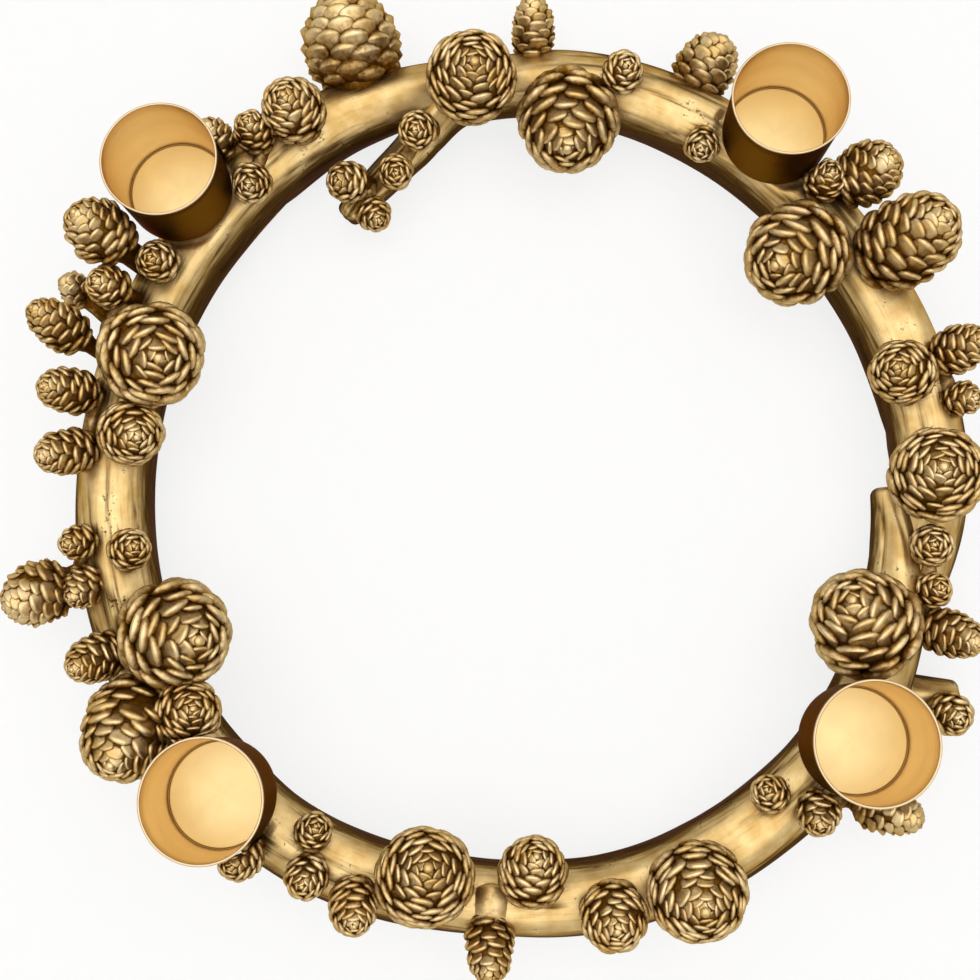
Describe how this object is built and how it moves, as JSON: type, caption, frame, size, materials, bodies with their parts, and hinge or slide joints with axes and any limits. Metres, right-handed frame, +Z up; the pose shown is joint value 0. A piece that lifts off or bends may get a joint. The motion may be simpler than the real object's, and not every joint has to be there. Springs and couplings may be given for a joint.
{
  "type": "advent wreath",
  "caption": "Ring of lapped cast branches set with pine cones, carrying open round cups that hold candles upright above a table.",
  "frame": {"origin": "on the table plane, under the middle of the wreath's bounding box", "axes": "+Z up out of the table, +Y towards the top of the picture, +X to the right of the picture"},
  "size_m": [0.3778, 0.3884, 0.0644],
  "materials": {
    "antique_gold_bark": "cast resin, metallic gold lacquer with a dark brown wash",
    "antique_gold_cone": "cast resin, metallic gold lacquer with a dark brown wash left between the scales",
    "satin_gold_cup": "spun steel sheet, satin gold plated",
    "zinc_steel": "zinc plated",
    "brown_felt": "pressed wool felt"
  },
  "bodies": {
    "root": {"branch_short": "antique_gold_bark", "branch_long": "antique_gold_bark", "candle_cup_bottom_left": "satin_gold_cup", "candle_cup_bottom_right": "satin_gold_cup", "candle_cup_top_left": "satin_gold_cup", "candle_cup_top_right": "satin_gold_cup", "cup_stud_bottom_left": "zinc_steel", "cup_stud_bottom_right": "zinc_steel", "cup_stud_top_left": "zinc_steel", "cup_stud_top_right": "zinc_steel", "flange_nut_bottom_left": "zinc_steel", "flange_nut_bottom_right": "zinc_steel", "flange_nut_top_left": "zinc_steel", "flange_nut_top_right": "zinc_steel", "felt_pad_bottom": "brown_felt", "felt_pad_left": "brown_felt", "felt_pad_right": "brown_felt", "felt_pad_top": "brown_felt", "pine_cone_01": "antique_gold_cone", "pine_cone_02": "antique_gold_cone", "pine_cone_03": "antique_gold_cone", "pine_cone_04": "antique_gold_cone", "pine_cone_05": "antique_gold_cone", "pine_cone_06": "antique_gold_cone", "cone_sprig_07": "antique_gold_cone", "pine_cone_08": "antique_gold_cone", "pine_cone_09": "antique_gold_cone", "pine_cone_10": "antique_gold_cone", "cone_sprig_11": "antique_gold_cone", "pine_cone_12": "antique_gold_cone", "cone_sprig_13": "antique_gold_cone", "pine_cone_14": "antique_gold_cone", "pine_cone_15": "antique_gold_cone", "cone_sprig_16": "antique_gold_cone", "pine_cone_17": "antique_gold_cone", "pine_cone_18": "antique_gold_cone", "pine_cone_19": "antique_gold_cone", "pine_cone_20": "antique_gold_cone", "pine_cone_21": "antique_gold_cone", "pine_cone_22": "antique_gold_cone", "pine_cone_23": "antique_gold_cone", "cone_sprig_24": "antique_gold_cone", "pine_cone_25": "antique_gold_cone", "pine_cone_26": "antique_gold_cone", "pine_cone_27": "antique_gold_cone", "pine_cone_28": "antique_gold_cone", "pine_cone_29": "antique_gold_cone", "cone_sprig_30": "antique_gold_cone", "pine_cone_31": "antique_gold_cone", "pine_cone_32": "antique_gold_cone", "cone_sprig_33": "antique_gold_cone", "pine_cone_34": "antique_gold_cone", "cone_sprig_35": "antique_gold_cone", "pine_cone_36": "antique_gold_cone", "pine_cone_37": "antique_gold_cone", "cone_sprig_38": "antique_gold_cone", "pine_cone_39": "antique_gold_cone", "pine_cone_40": "antique_gold_cone", "cone_sprig_41": "antique_gold_cone", "cone_sprig_42": "antique_gold_cone"}
  },
  "joints": []
}
